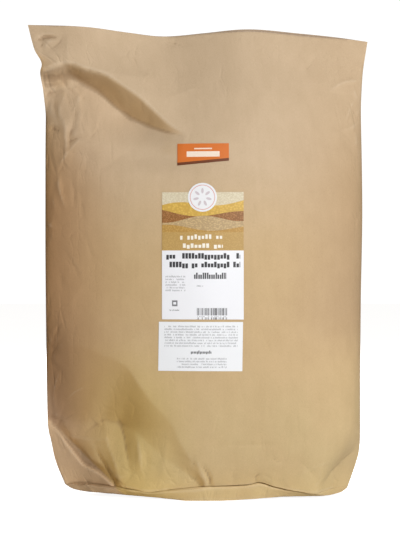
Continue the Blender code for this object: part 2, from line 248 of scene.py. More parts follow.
def front_folds(x, z):
    """How deep the front wall is pushed in at each (x, height)."""
    total = step_fold(
        x, z,
        [(-0.262, 0.620), (-0.231, 0.627), (-0.197, 0.634), (-0.174, 0.622), (-0.149, 0.607),
         (-0.114, 0.577), (-0.084, 0.5595), (-0.049, 0.5450), (-0.018, 0.537)],
        [(0, 0.021), (0.24, 0.023), (0.44, 0.0265), (0.63, 0.028), (0.75, 0.021), (0.86, 0.010),
         (0.94, 0.003), (1, 0)],
        [(0, 0.012), (0.24, 0.015), (0.44, 0.026), (0.63, 0.032), (0.75, 0.026), (0.89, 0.013), (1, 0.004)],
        apron=0.075, above=0.07, crisp=0.9,
    )
    total += band_fold(
        x, z,
        [(-0.232, 0.092), (-0.180, 0.092), (-0.135, 0.118), (-0.112, 0.113), (-0.088, 0.101),
         (-0.069, 0.086), (-0.049, 0.067), (-0.027, 0.052), (-0.005, 0.036), (0.014, 0.008)],
        [(-0.240, 0.225), (-0.160, 0.225), (-0.110, 0.205), (-0.0825, 0.172), (-0.0666, 0.150),
         (-0.0405, 0.121), (-0.0231, 0.089), (-0.0042, 0.060), (0.0131, 0.034), (0.022, 0.010)],
        [(0, 0.018), (0.20, 0.028), (0.38, 0.026), (0.52, 0.013), (0.66, 0.0075), (0.83, 0.0065),
         (0.93, 0.006), (1, 0.003)],
        apron=0.190,
    )
    total += step_fold(
        x, z,
        [(0.168, 0.004), (0.172, 0.020), (0.196, 0.040), (0.222, 0.066), (0.246, 0.080)],
        [(0, 0.0004), (0.5, 0.0012), (1, 0.0004)], [(0, 0.005), (1, 0.005)],
        apron=0.040, lift=0.5, above=0.030,
    )
    for path, depth, width in (
        # the pinched ear beside the mouth, and a dent under the mouth's middle
        ([(-0.250, 0.678), (-0.228, 0.688), (-0.196, 0.6885)], 0.0072, 0.0036),
        ([(-0.248, 0.672), (-0.232, 0.681), (-0.205, 0.683)], -0.0020, 0.0030),
        ([(-0.054, 0.684), (-0.034, 0.681), (-0.016, 0.673)], 0.0012, 0.0030),
        # the gathered paper under the shoulder
        ([(-0.200, 0.622), (-0.192, 0.590), (-0.184, 0.560)], 0.0012, 0.0026),
        ([(-0.186, 0.618), (-0.178, 0.592), (-0.176, 0.560)], -0.0010, 0.0026),
        ([(-0.168, 0.606), (-0.162, 0.580), (-0.158, 0.550)], 0.0010, 0.0026),
        ([(-0.222, 0.612), (-0.214, 0.580), (-0.204, 0.550)], 0.0014, 0.0030),
        ([(-0.205, 0.560), (-0.198, 0.530), (-0.199, 0.500)], -0.0008, 0.0030),
        # the pleat that runs into the bottom edge
        ([(0.004, 0.062), (0.016, 0.040), (0.0185, 0.020), (0.019, 0.004)], 0.0036, 0.0026),
        ([(0.000, 0.046), (0.0105, 0.032), (0.012, 0.006)], -0.0022, 0.0030),
        ([(-0.008, 0.075), (-0.005, 0.058), (0.001, 0.048)], 0.0016, 0.0024),
        # the bottom left corner, folded in behind its pasted edge
        ([(-0.156, 0.096), (-0.148, 0.070), (-0.134, 0.046), (-0.122, 0.022), (-0.118, -0.010)],
         0.0056, 0.0050),
        ([(-0.140, 0.126), (-0.134, 0.088), (-0.120, 0.050), (-0.112, 0.010)], -0.0036, 0.0090),
        ([(-0.120, 0.128), (-0.110, 0.100), (-0.104, 0.070), (-0.100, 0.040)], 0.0040, 0.0070),
        ([(-0.176, 0.090), (-0.164, 0.070), (-0.146, 0.046)], -0.0030, 0.0070),
        ([(-0.165, 0.086), (-0.150, 0.0835), (-0.136, 0.084)], 0.0012, 0.0020),
        ([(-0.093, 0.108), (-0.086, 0.076), (-0.082, 0.040)], -0.0030, 0.0070),
        ([(-0.078, 0.084), (-0.074, 0.062), (-0.076, 0.038)], 0.0012, 0.0032),
        # small dents along the foot of the belly and at the right corner
        ([(0.020, 0.083), (0.072, 0.0885), (0.128, 0.0885)], 0.0010, 0.0024),
        ([(0.104, 0.068), (0.116, 0.064), (0.128, 0.062)], 0.0009, 0.0020),
        ([(0.198, 0.040), (0.208, 0.028), (0.222, 0.012)], 0.0016, 0.0030),
        ([(0.086, 0.048), (0.084, 0.030), (0.087, 0.010)], 0.0022, 0.0026),
        ([(0.046, 0.050), (0.052, 0.034), (0.050, 0.024)], 0.0010, 0.0030),
    ):
        total += crease(x, z, path, depth, width)
    total += trough(x, z, [(-0.180, 0.518), (-0.110, 0.508), (-0.020, 0.502), (0.050, 0.490)], 0.0040, 0.015)
    total += trough(x, z, [(0.030, 0.492), (0.090, 0.484), (0.150, 0.470)], 0.0016, 0.018)
    return total


# %% The pasted corner's edge, and the back wall's folds


def toe_step(x, z):
    """The pasted corner's upper edge, which stands proud of the paper that is folded in behind it."""
    return step_fold(
        x, z,
        [(-0.113, 0.012), (-0.126, 0.0270), (-0.150, 0.0435), (-0.170, 0.0520), (-0.176, 0.0585),
         (-0.197, 0.0850), (-0.214, 0.1060), (-0.236, 0.118)],
        [(0, 0.0010), (0.15, 0.0046), (0.5, 0.0048), (0.85, 0.0036), (1, 0.0010)], [(0, 0.0026), (1, 0.0026)],
        apron=0.016, lift=0.0, above=0.020, crisp=1.0,
    )


def back_folds(x, z):
    """The plainer folds of the back wall, which no photograph shows."""
    total = step_fold(
        x, z,
        [(0.020, 0.548), (0.070, 0.556), (0.115, 0.574), (0.160, 0.602), (0.205, 0.628), (0.250, 0.634)],
        [(0, 0), (0.3, 0.008), (0.6, 0.013), (1, 0.010)], [(0, 0.010), (0.5, 0.032), (1, 0.020)],
        apron=0.075,
    )
    total += step_fold(
        x, z,
        [(0.020, 0.012), (0.030, 0.040), (0.060, 0.070), (0.110, 0.098), (0.160, 0.112)],
        [(0, 0.003), (0.5, 0.009), (1, 0)], [(0, 0.008), (0.5, 0.024), (1, 0.010)],
        apron=0.060, above=0.060,
    )
    for path, depth, width in (
        ([(-0.120, 0.480), (-0.020, 0.472), (0.110, 0.490)], 0.0030, 0.016),
        ([(-0.210, 0.640), (-0.185, 0.600), (-0.178, 0.550)], 0.0030, 0.0060),
        ([(-0.190, 0.100), (-0.160, 0.060), (-0.140, 0.020)], 0.0030, 0.0060),
        ([(0.120, 0.070), (0.130, 0.040), (0.128, 0.012)], 0.0026, 0.0030),
        ([(0.180, 0.580), (0.190, 0.540), (0.186, 0.500)], 0.0016, 0.0040),
    ):
        total += crease(x, z, path, depth, width)
    return total


across, up = np.meshgrid(np.linspace(-0.22, 0.22, 89), np.linspace(0.01, 0.69, 137))
for name, folds in (("front", front_folds), ("corner's edge", toe_step), ("back", back_folds)):
    print(name, "folds are at most", round(float(folds(across, up).max()) * 1000, 1), "mm deep")

# %% [markdown]
# ## Crumples
# Handled kraft paper keeps a net of short straight creases, because paper can't stretch. Each is a
# cusp: sharp along its line and dying away to both sides. They crowd at the bottom corners, under the
# folded shoulder and beside the side creases, and the full belly is nearly smooth.

# %% Crumples
CRUMPLES = 420             # on each wall
FRONT_SEED, BACK_SEED = 11, 23


def crumples(u, v, crowd, count, seed):
    """Many short seeded creases over a sheet, in metres of paper, strongest where crowd is high."""
    draw = np.random.default_rng(seed)
    total = np.zeros(u.shape)
    for number in range(count):
        middle_u, middle_v = draw.uniform(-HALF_PAPER, HALF_PAPER), draw.uniform(-0.03, 0.70)
        if number % 2:
            middle_u = math.copysign(HALF_PAPER - abs(draw.normal(0, 0.05)), middle_u)
        turn = draw.normal(math.pi / 2, 0.75)
        half = draw.uniform(0.012, 0.050)
        width = draw.uniform(0.0022, 0.0060)
        depth = draw.normal(0, 1) * 0.0010 * (half / 0.03) ** 0.5
        along = (u - middle_u) * math.cos(turn) + (v - middle_v) * math.sin(turn)
        off = -(u - middle_u) * math.sin(turn) + (v - middle_v) * math.cos(turn)
        bend = draw.normal(0, 4.0)
        off = off + bend * along**2
        fade = np.clip(1 - (along / half) ** 2, 0, 1) ** 1.5
        total += depth * fade * np.exp(-np.abs(off) / width)
    return total * crowd


def undulation(points, size, seed):
    """Slow swells of the paper over the rice, from smooth noise at each point."""
    shift = Vector((seed * 3.1, seed * 1.7, seed * 2.3))
    flat = points.reshape(-1, 3)
    return np.array([noise.noise(Vector(p) / size + shift) for p in flat]).reshape(points.shape[:-1])


# %% [markdown]
# ## The two walls
# Each wall is a sheet of paper points: rows from the middle of the bottom, out to the bottom's
# crease and up to the mouth, and columns spaced evenly along the paper, so that the grid follows the
# paper itself. The cross-section is a pillow that grows boxy towards the bottom.

# %% The walls


def fullness(spread, height):
    """Share of the full bulge at each place from crease (-1) to crease (1)."""
    leaning = spread - SLUMP * (1 - spread**2)
    power = np.where(leaning < 0, through(LEFT_POWER, height), through(RIGHT_POWER, height))
    edge = np.where(leaning < 0, through(LEFT_EDGE, height), through(RIGHT_EDGE, height))
    return np.clip(1 - np.abs(leaning) ** power, 0, 1) ** (1 / edge)


def even_spread(height, bulge):
    """For each row, places from crease to crease (-1 to 1) that are evenly spaced along the paper."""
    s = np.sin(np.linspace(-math.pi / 2, math.pi / 2, 900))[None, :]
    half = (through(RIGHT_CREASE, height) - through(LEFT_CREASE, height)) / 2
    length = np.hypot(np.diff(half * s), np.diff(bulge * fullness(s, height)))
    travelled = np.concatenate([np.zeros((len(height), 1)), np.cumsum(length, axis=1)], axis=1)
    wanted = np.linspace(0, 1, COLUMNS + 1)
    return np.array([np.interp(wanted * row[-1], row, s[0]) for row in travelled])


def press_corners(points, face):
    """Flattens the paper below each corner's fold onto a slanted facet, and eases the wall above into it."""
    for low, high, corner in FACETS:
        foot, top = Vector(low), Vector(high)
        end = Vector((corner[0], -face * corner[1], corner[2]))
        normal = (top - foot).cross(end - foot).normalized()
        if normal.x * foot.x < 0:
            normal.negate()
        outside = (points - np.array(foot)) @ np.array(normal)
        outside = (outside + np.sqrt(outside**2 + 0.001**2)) / 2
        fold = [(top.x, top.z), (end.x, end.z)] if foot.x < 0 else [(end.x, end.z), (top.x, top.z)]
        below, _ = along_path(points[..., 0], points[..., 2], np.array(fold))
        fade = np.clip(1 + below / FACET_FADE, 0, 1) ** 1.5
        points = points - (outside * fade)[..., None] * np.array(normal)
    return points


def wall_points(face):
    """Rows and columns of points for one wall: face is -1 for the front and 1 for the back."""
    row = np.arange(ROWS + 1.0)[:, None]
    wall = np.clip((row - BOTTOM_ROWS) / WALL_ROWS, 0, 1)
    tuck = 1 - (1 - np.clip(row / BOTTOM_ROWS, 0, 1)) ** 1.7
    height = SACK_HEIGHT * wall
    bulge = through(FRONT_BULGE if face < 0 else BACK_BULGE, height)
    spread = even_spread(height, bulge)
    left, right = through(LEFT_CREASE, height), through(RIGHT_CREASE, height)
    x = (left + right) / 2 + (right - left) / 2 * spread * (0.7 + 0.3 * tuck)

    seam = (0.0008 + 0.0014 * wall**12) / 2
    gap = through(MOUTH_GAP, x) / 2 * wall**10
    y = face * (seam + gap + bulge * tuck * fullness(spread, height))
    y = y + through(MOUTH_LEAN, x) * wall**4
    forward = np.where(spread < 0, through(LEFT_FORWARD, height), through(RIGHT_FORWARD, height))
    y = y - forward * np.abs(spread) ** np.where(spread < 0, 3.5, 5) * tuck
    if face > 0:
        roll = np.abs(spread) ** 9 * np.clip((1 - np.abs(spread)) / 0.03, 0, 1)
        x = x + np.sign(spread) * 0.0035 * roll * np.clip(height / 0.1, 0, 1) * (1 - wall**3)

    rise = through(BOTTOM_RISE, x) * (0.35 + 0.65 * tuck**2) * (1 - wall) ** 3
    lift = through(CREASE_LIFT, x) * np.clip((tuck - 0.86) / 0.14, 0, 1)
    step = through(MOUTH_STEP, x) * wall**20 if face < 0 else 0
    z = height * (through(MOUTH_EDGE, x) - step) / SACK_HEIGHT + rise + lift * np.exp(-height / 0.035)
    points = press_corners(np.stack([x, y, z], axis=-1), face)

    # A fold pushes the wall in only as far as the sack is thick there, and not at all at the floor.
    folds = front_folds if face < 0 else back_folds
    above_floor = np.clip(points[..., 2] / 0.02, 0, 1) * np.clip((row - BOTTOM_ROWS + 3) / 3, 0, 1)
    proud = np.maximum(face * (points[..., 1] + forward * tuck), 0)
    low_down = np.clip((0.15 - height) / 0.07, 0, 1)
    room = 2 * seam + (1.7 if face < 0 else 0.7) * bulge * fullness(spread, height) * tuck
    room = room * (1 - low_down) + np.minimum(room, 2 * seam + 0.6 * proud) * low_down
    push = folds(points[..., 0], points[..., 2]) * (1 - np.abs(spread) ** 30) * above_floor
    inwards = np.maximum(push, 0)
    held_back = inwards / (1 + (inwards / room) ** 3) ** (1 / 3)
    push = np.where(push > 0, held_back, push * np.clip(room / 0.04, 0, 1))
    points[..., 1] -= face * push
    if face < 0:
        points[..., 1] += toe_step(points[..., 0], points[..., 2]) * (1 - np.abs(spread) ** 20) * above_floor

    # The bottom's edge is a crease of its own, with the paper drawn in just below it.
    below = BOTTOM_ROWS - row
    under = np.where(below > 0, 0.0045 * np.exp(-np.abs(below - 1) / 1.3) + 0.0012 * np.exp(-below / 6), 0)
    points[..., 1] -= face * under * (1 - np.abs(spread) ** 12)
    return points, spread


def outward(points, face):
    """The direction that each point of a wall faces."""
    along, up = np.gradient(points, axis=1), np.gradient(points, axis=0)
    normal = np.cross(along, up) * -face
    return normal / np.maximum(np.linalg.norm(normal, axis=-1, keepdims=True), 1e-9)


def handling(points, u, v, face):
    """How much each place on a wall has been handled, and the share of that which is near the bottom."""
    at_bottom = np.exp(-np.maximum(v - 0.02, 0) / 0.07)
    at_left = np.clip((face * u - 0.07) / 0.15, 0, 1)
    at_sides = np.clip((np.abs(u) - 0.17) / 0.08, 0, 1)
    at_mouth = np.clip((v - 0.56) / 0.10, 0, 1)
    crowd = 0.20 + 0.50 * at_bottom + 0.20 * at_left + 0.30 * at_sides + 0.25 * at_mouth
    crowd = crowd + 0.30 * np.clip(at_left + at_sides, 0, 1) * np.exp(-((v - 0.58) / 0.09) ** 2)
    if face < 0:
        labelled = (np.abs(points[..., 0] - 0.006) < 0.066) & (np.abs(points[..., 2] - 0.358) < 0.17)
        crowd = np.where(labelled, 0.10, crowd)
    return crowd, at_bottom


def crumpled_wall(face, seed):
    """A wall with its crumples and swells pushed out along the way each point faces."""
    points, spread = wall_points(face)
    row = np.arange(ROWS + 1.0)[:, None]
    u = np.linspace(-HALF_PAPER, HALF_PAPER, COLUMNS + 1)[None, :] + 0 * row
    v = (row - BOTTOM_ROWS) * ROW_HEIGHT + 0 * u
    crowd, at_bottom = handling(points, u, v, face)
    facing = outward(points, face)
    # How far each place faces left or down, away from the key light; it sets a warm painted shade in the
    # paper's colour.
    away = np.clip((0.8 * face * facing[..., 0] - 0.3 * facing[..., 2] - 0.15) / 0.45, 0, 1)
    push = crumples(u, v, crowd, CRUMPLES, seed)
    push += 0.0022 * undulation(points, 0.075, seed) * np.clip(crowd, 0.35, 1)
    push += 0.00045 * undulation(points * [1, 1, 0.35], 0.014, seed + 5) * at_bottom
    from_crease = np.clip((1 - np.abs(spread)) / 0.05, 0, 1)
    free = from_crease * np.clip(row / 4, 0, 1) * np.clip((ROWS - row) / 8, 0, 1)
    points = points + (push * free)[..., None] * facing
    points[..., 2] = np.maximum(points[..., 2] - SETTLING, 0)
    return points, crowd, away


front, front_crowd, front_away_shade = crumpled_wall(-1, FRONT_SEED)
back, back_crowd, back_away_shade = crumpled_wall(1, BACK_SEED)
both = np.concatenate([front.reshape(-1, 3), back.reshape(-1, 3)])
centring = (both.min(axis=0) + both.max(axis=0)) / 2 * [1, 1, 0]
front, back = front - centring, back - centring
low_corner, high_corner = both.min(axis=0) - centring, both.max(axis=0) - centring
print("walls reach from", low_corner.round(4), "to", high_corner.round(4))

# %% [markdown]
# ## The sack as one mesh
# One flat grid is extruded into a slab of two sheets, one for each wall. The strip along its upper
# edge is the mouth: two cuts leave a narrow rim for each wall's cut edge, and the faces between them
# are extruded down between the walls as the slit of the closed mouth. Only then does every point move
# from the slab to its place on the sack.

# %% The slab and its mouth
RIM_SHARES = (0.2, 0.8)    # where the mouth's strip is cut, from the front wall to the back wall
SLIT_STEPS = 5             # each takes the slit two rows deeper
CLOSING_ROWS = 12          # over how many rows the slit narrows to nothing

bm = bmesh.new()
bmesh.ops.create_grid(bm, x_segments=COLUMNS, y_segments=ROWS, size=1)
slab = bmesh.ops.extrude_face_region(bm, geom=bm.faces[:], use_keep_orig=True)
bmesh.ops.translate(bm, verts=[v for v in slab["geom"] if isinstance(v, bmesh.types.BMVert)], vec=(0, 0, 1))


def mouth_faces():
    return [f for f in bm.faces if min(v.co.y for v in f.verts) > 1 - 1 / ROWS]


for share in RIM_SHARES:
    strip = mouth_faces()
    parts = set(strip) | {e for f in strip for e in f.edges} | {v for f in strip for v in f.verts}
    bmesh.ops.bisect_plane(bm, geom=list(parts), plane_co=(0, 0, share), plane_no=(0, 0, 1))
slit = []
for face in mouth_faces():
    middle = face.calc_center_median()
    face.material_index = 1
    if RIM_SHARES[0] < middle.z < RIM_SHARES[1] and abs(middle.x) < 1 - 2 / COLUMNS:
        slit.append(face)
for _ in range(SLIT_STEPS):
    around = list({e for f in slit for e in f.edges})
    deeper = bmesh.ops.extrude_face_region(bm, geom=slit + around)["geom"]
    slit = [f for f in deeper if isinstance(f, bmesh.types.BMFace)]
    floor_verts = [v for v in deeper if isinstance(v, bmesh.types.BMVert)]
    bmesh.ops.translate(bm, verts=floor_verts, vec=(0, -4 / ROWS, 0))
for face in bm.faces:
    heights = [v.co.z for v in face.verts]
    if min(heights) > 0.1 and max(heights) < 0.9 and min(v.co.y for v in face.verts) < 1 - 1 / ROWS:
        face.material_index = 2
bmesh.ops.recalc_face_normals(bm, faces=bm.faces[:])
print("slab:", len(bm.faces), "faces,", sum(f.material_index == 2 for f in bm.faces), "inside the mouth")

# %% [markdown]
# The paper's own pattern follows the sheet, so each corner also keeps its place on the flat paper, in
# metres. Where the finished wall is bent outwards like a ridge the paper is rubbed pale, and its
# valleys are darkened with painted shade, so that bend is kept as an attribute for the paper's
# material. Two more go with it: how much each place has been handled, and how far it faces away, to
# the left or down, which sets a warm painted shade in the paper's colour.

# %% From the slab to the sack


def bend(points, face):
    """How sharply a wall is bent at each point: positive on ridges, negative in valleys."""
    middle = points[2:-2, 2:-2]
    around = points[:-4, 2:-2] + points[4:, 2:-2] + points[2:-2, :-4] + points[2:-2, 4:]
    lean = ((middle * 4 - around) * outward(points, face)[2:-2, 2:-2]).sum(axis=-1)
    return np.pad(np.clip(lean / 0.004, -1, 1), 2)


walls = {
    0: (front, bend(front, -1), front_crowd, front_away_shade),
    1: (back, bend(back, 1), back_crowd, back_away_shade),
}
uv = bm.loops.layers.uv.new("paper")
ridge = bm.verts.layers.float.new("bend")
handled = bm.verts.layers.float.new("handled")
# facing left or down, kept for the warm painted shade
away = bm.verts.layers.float.new("away")
for face in bm.faces:
    face.smooth = True
    for loop in face.loops:
        across, up, _ = loop.vert.co
        loop[uv].uv = (across * HALF_PAPER, ((up + 1) / 2 * ROWS - BOTTOM_ROWS) * ROW_HEIGHT)
for v in bm.verts:
    column, row = round((v.co.x + 1) / 2 * COLUMNS), round((v.co.y + 1) / 2 * ROWS)
    side = round(v.co.z)
    if abs(v.co.z - side) < 0.1:
        v[ridge] = walls[side][1][row, column]
        v[handled] = walls[side][2][row, column]
        v[away] = walls[side][3][row, column]
        v.co = walls[side][0][row, column]
        continue
    near, far = Vector(walls[side][0][row, column]), Vector(walls[1 - side][0][row, column])
    apart = (far - near).length
    closing = (ROWS - row) / CLOSING_ROWS
    inset = min(PAPER + closing * apart / 2, apart * 0.46)
    v.co = near.lerp(far, inset / max(apart, 1e-6))
bmesh.ops.reverse_faces(bm, faces=bm.faces[:])
if bm.calc_volume(signed=True) < 0:
    bmesh.ops.reverse_faces(bm, faces=bm.faces[:])
sack_mesh = bpy.data.meshes.new("sack_paper")
bm.to_mesh(sack_mesh)
surface = BVHTree.FromBMesh(bm)
print("sack encloses", round(bm.calc_volume() * 1000, 1), "litres")
bm.free()
sack_mesh.set_sharp_from_angle(angle=math.radians(50))
sack = bpy.data.objects.new("sack_paper", sack_mesh)
bpy.context.scene.collection.objects.link(sack)
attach(sack, "root")
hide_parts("sack")

# %% [markdown]
# ## Shared effects as node groups
# The paper's fibres and the labels' print are each a small group of nodes with named inputs. They give
# masks and heights only, and the materials turn those into colour, roughness and relief.

# %% Node tools


def add(tree, kind, values=(), **settings):
    """A new node with its settings, and each input either linked or set."""
    new = tree.nodes.new(kind)
    for name, value in settings.items():
        setattr(new, name, value)
    for socket, value in dict(values).items():
        if isinstance(value, bpy.types.NodeSocket):
            tree.links.new(value, new.inputs[socket])
        else:
            new.inputs[socket].default_value = value
    return new


def sums(tree, operation, a, b=0.0):
    return add(tree, "ShaderNodeMath", {0: a, 1: b}, operation=operation).outputs[0]


def ramp(tree, value, low, high):
    """0 below low, 1 above high, and smooth between."""
    settings = {"Value": value, "From Min": low, "From Max": high}
    return add(tree, "ShaderNodeMapRange", settings, interpolation_type="SMOOTHSTEP").outputs[0]


def blend(tree, share, a, b):
    """A colour between a and b."""
    return add(tree, "ShaderNodeMix", {0: share, 6: a, 7: b}, data_type="RGBA").outputs[2]


def times(tree, a, b):
    """The product of two colours."""
    values = {0: 1.0, 6: a, 7: b}
    return add(tree, "ShaderNodeMix", values, data_type="RGBA", blend_type="MULTIPLY").outputs[2]


def new_group(name, inputs, outputs):
    """An empty node group with its sockets: (name, kind, default) in, and (name, kind) out."""
    tree = bpy.data.node_groups.new(name, "ShaderNodeTree")
    for label, kind, value in inputs:
        socket = tree.interface.new_socket(label, in_out="INPUT", socket_type=kind)
        if value is not None:
            socket.default_value = value
    for label, kind in outputs:
        tree.interface.new_socket(label, in_out="OUTPUT", socket_type=kind)
    return tree, tree.nodes.new("NodeGroupInput").outputs, tree.nodes.new("NodeGroupOutput").inputs


def use_group(tree, group, values):
    user = add(tree, "ShaderNodeGroup", node_tree=group)
    for socket, value in values.items():
        if isinstance(value, bpy.types.NodeSocket):
            tree.links.new(value, user.inputs[socket])
        else:
            user.inputs[socket].default_value = value
    return user.outputs


def stretched_noise(tree, vector, scale, detail=3.0, roughness=0.55):
    """Noise drawn out by a different scale along each axis."""
    drawn = add(tree, "ShaderNodeVectorMath", {0: vector, 1: scale}, operation="MULTIPLY").outputs[0]
    values = {"Vector": drawn, "Scale": 1.0, "Detail": detail, "Roughness": roughness}
    return add(tree, "ShaderNodeTexNoise", values).outputs[0]


FLOAT, VECTOR = "NodeSocketFloat", "NodeSocketVector"

# %% The kraft paper group
tree, given, result = new_group(
    "kraft_fibres",
    [("Vector", VECTOR, None), ("Fibre length", FLOAT, 1.0), ("Specks", FLOAT, 0.5)],
    [("Tone", FLOAT), ("Warmth", FLOAT), ("Specks", FLOAT), ("Relief", FLOAT)],
)
long_fibres = stretched_noise(tree, given["Vector"], (1500, 260, 1), 4.0, 0.65)
cross_fibres = stretched_noise(tree, given["Vector"], (330, 1300, 1), 3.0, 0.6)
clouds = stretched_noise(tree, given["Vector"], (34, 22, 1), 5.0, 0.6)
streaks = stretched_noise(tree, given["Vector"], (160, 9, 1), 3.0, 0.6)
fleck = stretched_noise(tree, given["Vector"], (1100, 420, 1), 1.0, 0.5)
fibres = sums(tree, "MULTIPLY", long_fibres, 0.6)
fibres = sums(tree, "ADD", fibres, sums(tree, "MULTIPLY", cross_fibres, 0.4))
soft = sums(tree, "ADD", sums(tree, "MULTIPLY", clouds, 0.75), sums(tree, "MULTIPLY", streaks, 0.25))
tone = sums(tree, "ADD", sums(tree, "MULTIPLY", fibres, 0.60), sums(tree, "MULTIPLY", soft, 0.40))
tree.links.new(ramp(tree, tone, 0.34, 0.66), result["Tone"])
patches = stretched_noise(tree, given["Vector"], (9, 6, 1), 3.0)
tree.links.new(ramp(tree, patches, 0.38, 0.62), result["Warmth"])
tree.links.new(sums(tree, "MULTIPLY", ramp(tree, fleck, 0.66, 0.76), given["Specks"]), result["Specks"])
tree.links.new(fibres, result["Relief"])
kraft_fibres = tree

tree, given, result = new_group(
    "fine_crumples", [("Vector", VECTOR, None), ("Amount", FLOAT, 0.5)], [("Height", FLOAT)],
)
wander = stretched_noise(tree, given["Vector"], (14, 9, 1), 1.0)
total = None
for scale, width, where in (((44, 26, 1), 0.07, (17, 13, 1)), ((95, 44, 1), 0.08, (31, 19, 1))):
    drawn = add(tree, "ShaderNodeVectorMath", {0: given["Vector"], 1: scale}, operation="MULTIPLY").outputs[0]
    drawn = add(tree, "ShaderNodeVectorMath", {0: drawn, 1: wander}, operation="ADD").outputs[0]
    values = {"Vector": drawn, "Scale": 1.0}
    from_edge = add(tree, "ShaderNodeTexVoronoi", values, feature="DISTANCE_TO_EDGE").outputs[0]
    valley = sums(tree, "SUBTRACT", 1.0, ramp(tree, from_edge, 0.0, width * 2.2))
    shown = ramp(tree, stretched_noise(tree, given["Vector"], where, 1.0), 0.50, 0.66)
    line = sums(tree, "DIVIDE", sums(tree, "MULTIPLY", valley, shown), scale[0] / 58)
    total = line if total is None else sums(tree, "ADD", total, line)
sunk = sums(tree, "MULTIPLY", given["Amount"], -1.0)
tree.links.new(sums(tree, "MULTIPLY", total, sunk), result["Height"])
fine_crumples = tree

# %% [markdown]
# A field is a mask between four edges. Rows of words are strokes in cells: a random number for each
# cell says whether it holds a stroke and how tall that is, so nothing can be read. Light words have two
# thin strokes to a cell. Heavy ones, as in a heading, have one plain block.

# %% The print groups
edges = [("Left", FLOAT, 0.0), ("Right", FLOAT, 0.01), ("Low", FLOAT, 0.0), ("High", FLOAT, 0.01)]
tree, given, result = new_group("print_field", [("Vector", VECTOR, None)] + edges, [("Mask", FLOAT)])
place = add(tree, "ShaderNodeSeparateXYZ", {0: given["Vector"]}).outputs
inside = sums(tree, "MULTIPLY", sums(tree, "GREATER_THAN", place[0], given["Left"]),
              sums(tree, "LESS_THAN", place[0], given["Right"]))
tall = sums(tree, "MULTIPLY", sums(tree, "GREATER_THAN", place[1], given["Low"]),
            sums(tree, "LESS_THAN", place[1], given["High"]))
tree.links.new(sums(tree, "MULTIPLY", inside, tall), result["Mask"])
print_field = tree

tree, given, result = new_group(
    "print_words",
    [("Vector", VECTOR, None)] + edges
    + [("Pitch", FLOAT, 0.003), ("Letter", FLOAT, 0.001), ("Gaps", FLOAT, 0.2), ("Weight", FLOAT, 0.42)],
    [("Mask", FLOAT)],
)
place = add(tree, "ShaderNodeSeparateXYZ", {0: given["Vector"]}).outputs
line = sums(tree, "DIVIDE", sums(tree, "SUBTRACT", place[1], given["Low"]), given["Pitch"])
letter = sums(tree, "DIVIDE", sums(tree, "SUBTRACT", place[0], given["Left"]), given["Letter"])
row_start = sums(tree, "ADD", sums(tree, "MULTIPLY", sums(tree, "FLOOR", line), 131.7),
                 sums(tree, "MULTIPLY", given["Low"], 9137.0))
seat = sums(tree, "ADD", sums(tree, "FLOOR", letter), row_start)
draw = add(tree, "ShaderNodeTexWhiteNoise", {"W": seat}, noise_dimensions="1D").outputs[0]
inked = sums(tree, "GREATER_THAN", draw, given["Gaps"])
beside = sums(tree, "ADD", seat, 0.5)
other = add(tree, "ShaderNodeTexWhiteNoise", {"W": beside}, noise_dimensions="1D").outputs[0]
part = sums(tree, "FRACT", letter)
level = sums(tree, "FRACT", line)
top = sums(tree, "ADD", 0.62, sums(tree, "MULTIPLY", sums(tree, "GREATER_THAN", draw, 0.72), 0.20))
low = sums(tree, "SUBTRACT", 0.18, sums(tree, "MULTIPLY", sums(tree, "LESS_THAN", draw, 0.30), 0.12))


def between(value, start, stop):
    past_start, short_of_stop = sums(tree, "GREATER_THAN", value, start), sums(tree, "LESS_THAN", value, stop)
    return sums(tree, "MULTIPLY", past_start, short_of_stop)


second_top = sums(tree, "ADD", 0.62, sums(tree, "MULTIPLY", sums(tree, "GREATER_THAN", other, 0.80), 0.20))
second = sums(tree, "MULTIPLY", sums(tree, "GREATER_THAN", other, 0.20), between(part, 0.52, 0.90))
second = sums(tree, "MULTIPLY", second, sums(tree, "LESS_THAN", given["Weight"], 0.5))
second = sums(tree, "MULTIPLY", second, between(level, 0.18, second_top))
first = sums(tree, "MULTIPLY", between(part, 0.06, given["Weight"]), between(level, low, top))
body = sums(tree, "MAXIMUM", first, second)
bounds = {name: given[name] for name in ("Vector", "Left", "Right", "Low", "High")}
field = use_group(tree, print_field, bounds)[0]
mask = sums(tree, "MULTIPLY", sums(tree, "MULTIPLY", inked, body), field)
tree.links.new(mask, result["Mask"])
print_words = tree
print("node groups:", [g.name for g in bpy.data.node_groups])

# %% [markdown]
# ## The kraft paper
# Unbleached paper is a matt tan with a slow cloudiness, fine fibres along the sheet and dark flecks.
# It isn't one tan all over: pinkish at the top, yellower towards the floor, ochre where the belly
# hangs over the corner, and browner at both sides. Painted light and shade go into the same tints: the
# top and the foot are a little brighter, both sides and the lower left edge are darker as painted
# shade, and every place that faces left or down gets a warm painted shade. Each is a soft tint that
# the paper's tone is multiplied by, laid over the one before it by a ramp on the height or across the
# sack. A painted texture could do it too, but ramps can be moved by one number and need no picture.

# %% The paper's tints
# The top tint is pinkish and the floor tint yellower; both are also a little brighter, as painted light.
TOP_PINK_AND_LIGHT_TINT = (1.015, 1.012, 1.07, 1)
MIDDLE_TINT = (1.00, 0.945, 0.82, 1)
FLOOR_YELLOW_AND_LIGHT_TINT = (1.02, 1.03, 0.88, 1)
OCHRE_TINT = (1.03, 1.00, 0.64, 1)
# browner at the left side, and darker there as painted shade
LEFT_BROWN_AND_SHADE_TINT = (0.80, 0.665, 0.60, 1)
# painted shade: a plain darkening of the lower left edge
LOW_LEFT_SHADE_TINT = (0.72, 0.70, 0.70, 1)
# browner towards the right edge, and darker there as painted shade
RIGHT_BROWN_AND_SHADE_TINT = (0.82, 0.75, 0.69, 1)
TOE_TINT = (0.95, 0.86, 0.82, 1)
